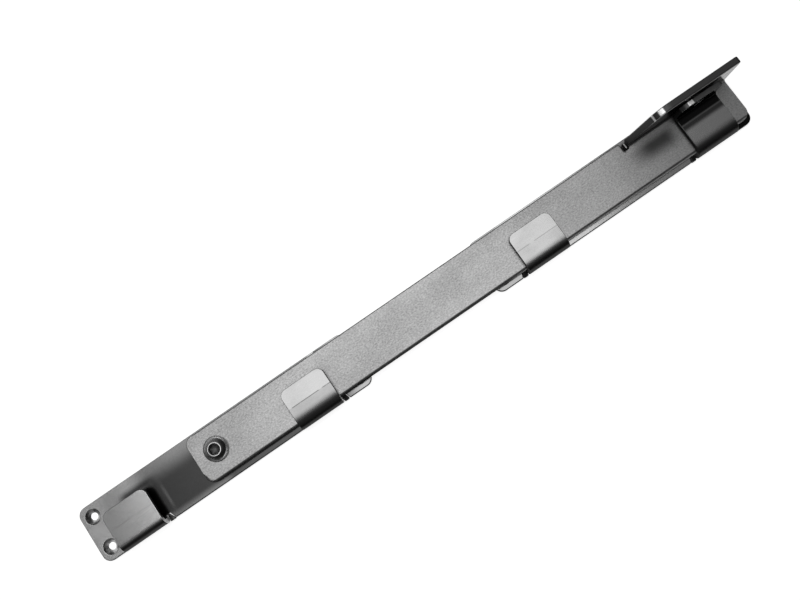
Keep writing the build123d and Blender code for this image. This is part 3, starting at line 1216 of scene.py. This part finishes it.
def pivot_plate_marks_and_shade(tree, colour, rough):
    """Painted shade on the pivot plate between its hooks, at its inner end and in its notches, a light
    streak, its bright outer end, and the marks on its hooks.
    """
    x, y = place_axes(tree)[:2]
    strip = times(tree, fade(tree, x, *LIGHTER_STRIP_X), fade(tree, y, *LIGHTER_STRIP_Y))
    strip = times(tree, strip, LIGHTER_STRIP_TONE)
    # The tone between the hooks is painted shade
    scale = math_node(tree, "ADD", fade(tree, y, **BETWEEN_HOOKS_TONE), strip)
    inner_end = fade(tree, x, **PIVOT_INNER_END_TONE)
    colour = blend_colours(tree, patch(tree, BETWEEN_HOOKS, WHOLE_DEPTH), colour, scale)
    colour = blend_colours(tree, patch(tree, PIVOT_INNER_END, WHOLE_DEPTH), colour, inner_end)
    colour, rough = paint_areas(tree, colour, rough, PIVOT_PLATE_AREAS)
    colour, rough = hook_marks(tree, colour, rough, **PARKING_HOOK_MARKS)
    return hook_marks(tree, colour, rough, **PIVOT_SIDE_HOOK_MARKS)


def pivot_plate_edges(tree, colour, rough):
    """Painted highlights on the side faces of the two hooks' walls beside their notches."""
    x, y = place_axes(tree)[:2]
    low, high, soft = SIDE_FACE_REACH
    parking = band(tree, x, PARKING_NOTCH_X + low, PARKING_NOTCH_X + high, soft)
    inner = band(tree, x, PIVOT_SIDE_NOTCH_X + low, PIVOT_SIDE_NOTCH_X + high, soft)
    sides = math_node(tree, "ADD", parking, inner, clamp=True)
    return paint(tree, colour, (times(tree, sides, fade(tree, y, *SIDE_FACE_Y)), GLINT_GREY)), rough


# The keeper plate's marks and painted shade

# Areas on the keeper plate's top: the torn metal in the notches and the low corner are painted dark as
# shade
KEEPER_PLATE_AREAS = {
    "inner end": area((40.0, 91.0, 1.0), WHOLE_DEPTH, 0.26),
    "painted shade on the torn metal at the inner hook": area(
        (KEEPER_SIDE_NOTCH_X - 5.1, KEEPER_SIDE_NOTCH_X + 0.1, 0.4, 0.2), TORN_DEPTH, 0.02, rougher=0.4
    ),
    "painted shade on the torn metal at the lug's hook": area(
        (LUG_HOOK_NOTCH_X - 5.1, LUG_HOOK_NOTCH_X + 0.1, 0.4, 0.2), TORN_DEPTH, 0.02, rougher=0.4
    ),
    "painted shade in the low corner": area((305.0, 340.0, 1.5), (-40.0, -17.0, 1.2), 0.015),
}
KEEPER_SIDE_HOOK_MARKS = {
    "hook_x": INNER_HOOK_X,
    "line_y": -4.4,
    "strength": 0.3,
    "above": 0.82,
    "below": 0.8,
    "wall": 0.13,
    "wall_y": (-12.5, -20.5),
}
LUG_HOOK_MARKS = {
    "hook_x": LUG_HOOK_X,
    "line_y": -30.0,
    "strength": 0.0,
    "above": 1.15,
    "below": 1.0,
    "wall": 0.14,
    "wall_y": (-10.5, -18.5),
}
# Where the lug hook's tab lies, its painted shade and the painted highlight along its ridge
LUG_TAB_X = (LUG_HOOK_NOTCH_X + 0.4, LUG_HOOK_X + HOOK_LENGTH / 2 - 0.4, 0.3)
TAB_DARKENS_Y = (-3.0, 1.2)
TAB_DARKENS_BY = 0.84
TAB_RIDGE_Y = (3.3, 4.3, 0.6)
TAB_RIDGE_STRENGTH = 0.18
TAB_RIDGE_GREY = 0.5
TAB_DARKEST_Y = (4.3, 5.2)
TAB_DARKEST_GREY = 0.012
KEEPER_LUG_FOOT_Z = (18.0, 21.0)
KEEPER_LUG_TOP_Z = (34.6, 35.4)
KEEPER_LUG_EDGE_Y = (12.2, 15.6, 0.2)
KEEPER_LUG_GLINT_X = (268.4, 273.2, 0.5)
# Painted shade on the side of the lug hook's tab
TAB_SIDE_X = (LUG_HOOK_NOTCH_X - 1.0, LUG_HOOK_NOTCH_X + 0.6, 0.3)
TAB_SIDE_STRENGTH = 0.85
TAB_SIDE_GREY = 0.03


def keeper_plate_marks_and_shade(tree, colour, rough):
    """The marks on the keeper plate's hooks, painted shade in its low corner, notches and lug hook's tab,
    and its lug painted dark.
    """
    x, y, z = place_axes(tree)
    colour, rough = paint_areas(tree, colour, rough, KEEPER_PLATE_AREAS)
    colour, rough = hook_marks(tree, colour, rough, **KEEPER_SIDE_HOOK_MARKS)
    # Painted shade darkens the lug hook's tab towards the lug, with a painted highlight along the ridge
    tab = times(tree, band(tree, x, *LUG_TAB_X), fade(tree, z, *TAB_FOOT_Z))
    colour = paint(
        tree,
        colour,
        (times(tree, tab, fade(tree, y, *TAB_DARKENS_Y), TAB_DARKENS_BY), 0.0),
        (times(tree, tab, band(tree, y, *TAB_RIDGE_Y), TAB_RIDGE_STRENGTH), TAB_RIDGE_GREY),
        (times(tree, tab, fade(tree, y, *TAB_DARKEST_Y)), TAB_DARKEST_GREY),
    )
    colour, rough = hook_marks(tree, colour, rough, **LUG_HOOK_MARKS)
    return dark_lug(tree, colour, rough, *KEEPER_LUG_FOOT_Z)


def keeper_plate_edges(tree, colour, rough):
    """A painted glint on the lug's top edge, and painted shade on the side of the tab below it."""
    x, y, z = place_axes(tree)
    top_edge = times(tree, fade(tree, z, *KEEPER_LUG_TOP_Z), band(tree, y, *KEEPER_LUG_EDGE_Y))
    glint = times(tree, band(tree, x, *KEEPER_LUG_GLINT_X), top_edge)
    tab_side = times(tree, band(tree, x, *TAB_SIDE_X), fade(tree, z, *TAB_FOOT_Z), TAB_SIDE_STRENGTH)
    return paint(tree, colour, (tab_side, TAB_SIDE_GREY), (glint, GLINT_GREY)), rough


# The bar's painted shade and glints

# Painted shade on the bar: darker towards its lug, in a patch beside the lug, and on its rounded near
# edge
TOWARDS_LUG_X = (190.0, 240.0)
TOWARDS_LUG_STRENGTH = 0.4
TOWARDS_LUG_GREY = 0.2
SHADE_BY_LUG_X = (222.0, 256.0, 13.0, 8.0)
SHADE_BY_LUG_Y = (-2.5, 10.5, 7.0, 4.0)
SHADE_BY_LUG_STRENGTH = 0.95
SHADE_BY_LUG_GREY = 0.05
NEAR_EDGE_Y = (BAR_NEAR_Y + 2.85, BAR_NEAR_Y + 2.05)
NEAR_EDGE_GREY = 0.1
# The low side of the near edge: a painted reflection of the keeper plate, lighter above it, and painted
# shade, darker above the pivot plate
LOW_SIDE_Y = (BAR_NEAR_Y + 1.35, BAR_NEAR_Y + 0.55)
LOW_SIDE_OVER_KEEPER = {"start": 70.0, "end": 95.0, "to_start": 0.1, "to_end": 0.36}
LOW_SIDE_OVER_PIVOT = {"start": -50.0, "end": -66.0, "to_start": 0.0, "to_end": -0.07}
BAR_LUG_FOOT_Z = (11.8, 15.5)
BAR_GLINTS_X = ((235.7, 236.8, 0.3), (240.3, 244.5, 0.6))
BAR_GLINTS_Z = (30.0, 33.0)
BAR_LUG_EDGE_Y = (BAR_FAR_Y - 5.6, BAR_FAR_Y - 0.35, 0.25)


def bar_shade(tree, colour, rough):
    """Painted shade on the bar: a darker run towards its lug, a darker patch there, a darker near edge,
    and the lug painted dark.
    """
    x, y = place_axes(tree)[:2]
    towards_lug = times(tree, fade(tree, x, *TOWARDS_LUG_X), TOWARDS_LUG_STRENGTH)
    shade_by_lug = times(tree, band(tree, x, *SHADE_BY_LUG_X), band(tree, y, *SHADE_BY_LUG_Y), SHADE_BY_LUG_STRENGTH)
    colour = paint(
        tree,
        colour,
        (towards_lug, TOWARDS_LUG_GREY),
        (shade_by_lug, SHADE_BY_LUG_GREY),
        (fade(tree, y, *NEAR_EDGE_Y), NEAR_EDGE_GREY),
    )
    return dark_lug(tree, colour, rough, *BAR_LUG_FOOT_Z)


def bar_edges(tree, colour, rough):
    """The low side of the bar's near edge has a painted reflection and painted shade, and the lug's edge
    two painted glints.
    """
    x, y, z = place_axes(tree)
    over_keeper = fade(tree, x, **LOW_SIDE_OVER_KEEPER)
    over_pivot = fade(tree, x, **LOW_SIDE_OVER_PIVOT)
    level = math_node(tree, "ADD", over_keeper, over_pivot)
    colour = blend_colours(tree, fade(tree, y, *LOW_SIDE_Y), colour, level)
    glints = [band(tree, x, *glint_x) for glint_x in BAR_GLINTS_X]
    glints = math_node(tree, "ADD", *glints, clamp=True)
    top_edge = times(tree, fade(tree, z, *BAR_GLINTS_Z), band(tree, y, *BAR_LUG_EDGE_Y))
    return paint(tree, colour, (times(tree, glints, top_edge), GLINT_GREY)), rough


# The screw's painted shade and highlights

# Painted shade on the dome, and a painted lighter rim with a painted glint on its right
HEAD_FOOT_Z = (10.8, 11.1)
DOME_START = (5.3, 5.6)
DOME_TONE = {"start": -6.0, "end": 8.0, "to_start": 0.08, "to_end": 0.42}
DOME_ROUGHER = 0.22
RIM_START = (8.7, 9.3)
RIM_GREY = 0.5
BRIGHT_RIM_X = (0.0, 6.0)


def screw_shade_and_highlights(tree, colour, rough):
    """Painted shade darkens the dome on its lower right side; the rim is painted lighter, and bright on
    the right as a glint.
    """
    x, y, z = place_axes(tree)
    across = math_node(tree, "SUBTRACT", x, PIVOT_PLACE.x)
    upward = math_node(tree, "SUBTRACT", y, PIVOT_PLACE.y)
    arm = add_node(tree, "ShaderNodeCombineXYZ", {"X": across, "Y": upward}).outputs[0]
    from_centre = add_node(tree, "ShaderNodeVectorMath", {0: arm}, operation="LENGTH").outputs["Value"]
    slant = math_node(tree, "SUBTRACT", upward, across)
    head = fade(tree, z, *HEAD_FOOT_Z)
    dome = times(tree, head, fade(tree, from_centre, *DOME_START))
    rim = times(tree, head, fade(tree, from_centre, *RIM_START))
    bright_rim = times(tree, rim, fade(tree, across, *BRIGHT_RIM_X))
    colour = blend_colours(tree, dome, colour, fade(tree, slant, **DOME_TONE))
    colour = paint(tree, colour, (rim, RIM_GREY), (bright_rim, GLINT_GREY))
    rough = math_node(tree, "ADD", rough, times(tree, dome, DOME_ROUGHER))
    return colour, rough


# The steels

SPECK_SCALE = 1000.0
GRAIN_SCALE = 1400.0
GRAIN_STRETCH = 0.6
DENT_DEPTH = 0.6
SCRATCH_SCALE = 70.0
SCRATCH_LIGHTER = 1.25
SCRATCH_LIGHTEST = 0.9
CUT_DARKER = 0.3
CUT_ROUGHER = 0.35
DRILLED_DARKER = 0.4
DRILLED_ROUGHER = 0.14
EDGE_WEAR_AND_SHEEN = 0.1
BUMP_DISTANCE = 0.0001
REFLECTION_GREY = 0.5


def start_material(name):
    """Starts a node material and returns it with its tree and its surface shader."""
    material = bpy.data.materials.new(name)
    material.use_nodes = True
    tree = material.node_tree
    shader = next(node for node in tree.nodes if node.type == "BSDF_PRINCIPLED")
    return material, tree, shader


def steel(name, dark, light, rough_low, rough_high, cloud_scale, clouds_seen, specks_seen,
          grain_depth, scratches, marks_and_shade, edges=None):
    """Bare steel with clouds, specks, grain, scratches, darker cut edges, and its own marks, painted
    shade and painted highlights.
    """
    material, tree, shader = start_material(name)
    clouds = place_group(tree, CLOUDY_STEEL, {
        "Dark": grey(dark),
        "Light": grey(light),
        "Cloud Scale": cloud_scale,
        "Cloud Strength": clouds_seen,
        "Speck Scale": SPECK_SCALE,
        "Speck Strength": specks_seen,
        "Stretch": GRAIN_STRETCH,
    })
    scratch = place_group(tree, SCRATCHES, {"Scale": SCRATCH_SCALE, "Amount": scratches}).outputs[0]
    scratched = grey(min(light * SCRATCH_LIGHTER, SCRATCH_LIGHTEST))
    colour = blend_colours(tree, scratch, clouds.outputs["Color"], scratched)
    rough = span(tree, clouds.outputs["Clouds"], 0.0, 1.0, rough_high, rough_low, smooth=False)
    colour, rough = marks_and_shade(tree, colour, rough)
    edge = place_group(tree, CUT_EDGE, {
        "Color": colour,
        "Cut Color": grey(dark * CUT_DARKER),
        "Wear And Sheen Color": grey(light),
        "Wear And Sheen": EDGE_WEAR_AND_SHEEN,
        "Drilled Color": grey(light * DRILLED_DARKER),
    })
    rough = math_node(tree, "ADD", rough, times(tree, edge.outputs["Cut"], CUT_ROUGHER))
    rough = math_node(tree, "ADD", rough, times(tree, edge.outputs["Drilled"], DRILLED_ROUGHER))
    colour = edge.outputs["Color"]
    if edges:
        colour, rough = edges(tree, colour, rough)
    grain = place_group(
        tree, ROLLED_GRAIN, {"Scale": GRAIN_SCALE, "Stretch": GRAIN_STRETCH, "Dents": DENT_DEPTH}
    )
    bump = add_node(
        tree,
        "ShaderNodeBump",
        {"Height": grain.outputs["Height"], "Strength": grain_depth, "Distance": BUMP_DISTANCE},
    )
    tree.links.new(colour, shader.inputs["Base Color"])
    tree.links.new(rough, shader.inputs["Roughness"])
    tree.links.new(bump.outputs["Normal"], shader.inputs["Normal"])
    shader.inputs["Metallic"].default_value = 1.0
    shader.inputs["Specular Tint"].default_value = grey(REFLECTION_GREY)
    return material


PLATE_LOOK = {
    "dark": 0.35,
    "light": 0.43,
    "cloud_scale": 45.0,
    "clouds_seen": 0.5,
    "specks_seen": 0.3,
    "grain_depth": 0.2,
    "scratches": 0.15,
}
KEEPER_PLATE_STEEL = steel(
    "keeper plate steel",
    rough_low=0.17,
    rough_high=0.22,
    marks_and_shade=keeper_plate_marks_and_shade,
    edges=keeper_plate_edges,
    **PLATE_LOOK,
)
PIVOT_PLATE_STEEL = steel(
    "pivot plate steel",
    rough_low=0.18,
    rough_high=0.23,
    marks_and_shade=pivot_plate_marks_and_shade,
    edges=pivot_plate_edges,
    **PLATE_LOOK,
)
BAR_STEEL = steel(
    "matte bar steel",
    dark=0.24,
    light=0.51,
    rough_low=0.44,
    rough_high=0.47,
    cloud_scale=30.0,
    clouds_seen=0.18,
    specks_seen=0.85,
    grain_depth=0.6,
    scratches=0.08,
    marks_and_shade=bar_shade,
    edges=bar_edges,
)
SCREW_STEEL = steel(
    "screw steel",
    dark=0.4,
    light=0.5,
    rough_low=0.14,
    rough_high=0.22,
    cloud_scale=180.0,
    clouds_seen=0.8,
    specks_seen=0.3,
    grain_depth=0.08,
    scratches=0.3,
    marks_and_shade=screw_shade_and_highlights,
)

pivot_plate.data.materials.append(PIVOT_PLATE_STEEL)
keeper_plate.data.materials.append(KEEPER_PLATE_STEEL)
bar.data.materials.append(BAR_STEEL)
screw.data.materials.append(SCREW_STEEL)
for node_name in ("pivot_bush", "spacer_washer"):
    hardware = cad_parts[node_name]
    hardware.data.materials.clear()
    hardware.data.materials.append(SCREW_STEEL)


# Floor, light and camera, in metres

FLOOR_HALF_WIDTH = 12.0
FLOOR_GREY = 0.6
FLOOR_ROUGHNESS = 0.9
FLOOR_SPECULAR = 0.1
FLOOR_LIFT = 0.78
LAMP_RADIANCE = 1.7
LAMP_WIDTH = 1.5
LAMP_PLACE = Vector((-0.07, 0.3, 1.6))
SKY_RISE = (0.15, 1.0)
SKY_LEVELS = (0.015, 0.25)
SKY_FRONT_TO_BACK = (0.5, 1.5)
EYE = Vector((-34.91, -59.35, 642.87)) * MM
AIM = Vector((-7.684, 19.363, 0.065)) * MM
CAMERA_TURN = math.radians(-34.668)
CAMERA_LENS = 35.267
CAMERA_SENSOR = 36.0
CAMERA_NEAR_CLIP = 0.01


def white_floor():
    """A large pale floor that shows white, and still takes the latch's shadow."""
    mesh_data = bmesh.new()
    verts = []
    for side_x, side_y in ((-1, -1), (1, -1), (1, 1), (-1, 1)):
        verts.append(mesh_data.verts.new((side_x * FLOOR_HALF_WIDTH, side_y * FLOOR_HALF_WIDTH, 0.0)))
    mesh_data.faces.new(verts)
    mesh = bpy.data.meshes.new("floor")
    mesh_data.to_mesh(mesh)
    mesh_data.free()
    floor = bpy.data.objects.new("floor", mesh)
    bpy.context.scene.collection.objects.link(floor)
    material, tree, shader = start_material("white floor")
    shader.inputs["Base Color"].default_value = grey(FLOOR_GREY)
    shader.inputs["Roughness"].default_value = FLOOR_ROUGHNESS
    shader.inputs["Specular IOR Level"].default_value = FLOOR_SPECULAR
    path = add_node(tree, "ShaderNodeLightPath")
    seen = math_node(tree, "ADD", path.outputs["Is Camera Ray"], path.outputs["Is Glossy Ray"])
    seen = math_node(tree, "ADD", seen, path.outputs["Is Transmission Ray"], clamp=True)
    shader.inputs["Emission Color"].default_value = grey(1.0)
    tree.links.new(times(tree, seen, FLOOR_LIFT), shader.inputs["Emission Strength"])
    floor.data.materials.append(material)
    return floor


def overhead_softbox():
    """One square lamp above the latch."""
    lamp_data = bpy.data.lights.new("overhead softbox", "AREA")
    lamp_data.shape = "RECTANGLE"
    lamp_data.size = LAMP_WIDTH
    lamp_data.size_y = LAMP_WIDTH
    lamp_data.energy = LAMP_RADIANCE * math.pi * LAMP_WIDTH * LAMP_WIDTH
    lamp = bpy.data.objects.new("overhead softbox", lamp_data)
    lamp.location = LAMP_PLACE
    bpy.context.scene.collection.objects.link(lamp)


def dim_studio():
    """A dim world, lighter overhead and behind the latch, that the camera itself sees as white."""
    world = bpy.data.worlds.new("dim studio")
    bpy.context.scene.world = world
    world.use_nodes = True
    tree = world.node_tree
    background = next(node for node in tree.nodes if node.type == "BACKGROUND")
    direction = add_node(tree, "ShaderNodeTexCoord").outputs["Generated"]
    split = add_node(tree, "ShaderNodeSeparateXYZ", {0: direction})
    height = span(tree, split.outputs["Z"], *SKY_RISE, *SKY_LEVELS, smooth=False)
    behind = span(tree, split.outputs["Y"], -1.0, 1.0, *SKY_FRONT_TO_BACK, smooth=False)
    seen_directly = add_node(tree, "ShaderNodeLightPath").outputs["Is Camera Ray"]
    level = math_node(tree, "MAXIMUM", times(tree, height, behind), seen_directly)
    tree.links.new(level, background.inputs["Strength"])
    background.inputs["Color"].default_value = grey(1.0)


def photo_camera():
    """The camera nearly straight above the latch, turned so that the latch lies aslant."""
    camera_data = bpy.data.cameras.new("camera")
    camera_data.lens = CAMERA_LENS
    camera_data.sensor_width = CAMERA_SENSOR
    camera_data.clip_start = CAMERA_NEAR_CLIP
    camera = bpy.data.objects.new("camera", camera_data)
    forward = (AIM - EYE).normalized()
    level_right = forward.cross(Vector((0.0, 1.0, 0.0))).normalized()
    level_up = level_right.cross(forward)
    right = level_right * math.cos(CAMERA_TURN) + level_up * math.sin(CAMERA_TURN)
    up = right.cross(forward)
    camera.matrix_world = Matrix((
        (right.x, up.x, -forward.x, EYE.x),
        (right.y, up.y, -forward.y, EYE.y),
        (right.z, up.z, -forward.z, EYE.z),
        (0.0, 0.0, 0.0, 1.0),
    ))
    bpy.context.scene.collection.objects.link(camera)
    bpy.context.scene.camera = camera


white_floor()
overhead_softbox()
dim_studio()
photo_camera()
bpy.context.scene.view_settings.view_transform = "Standard"
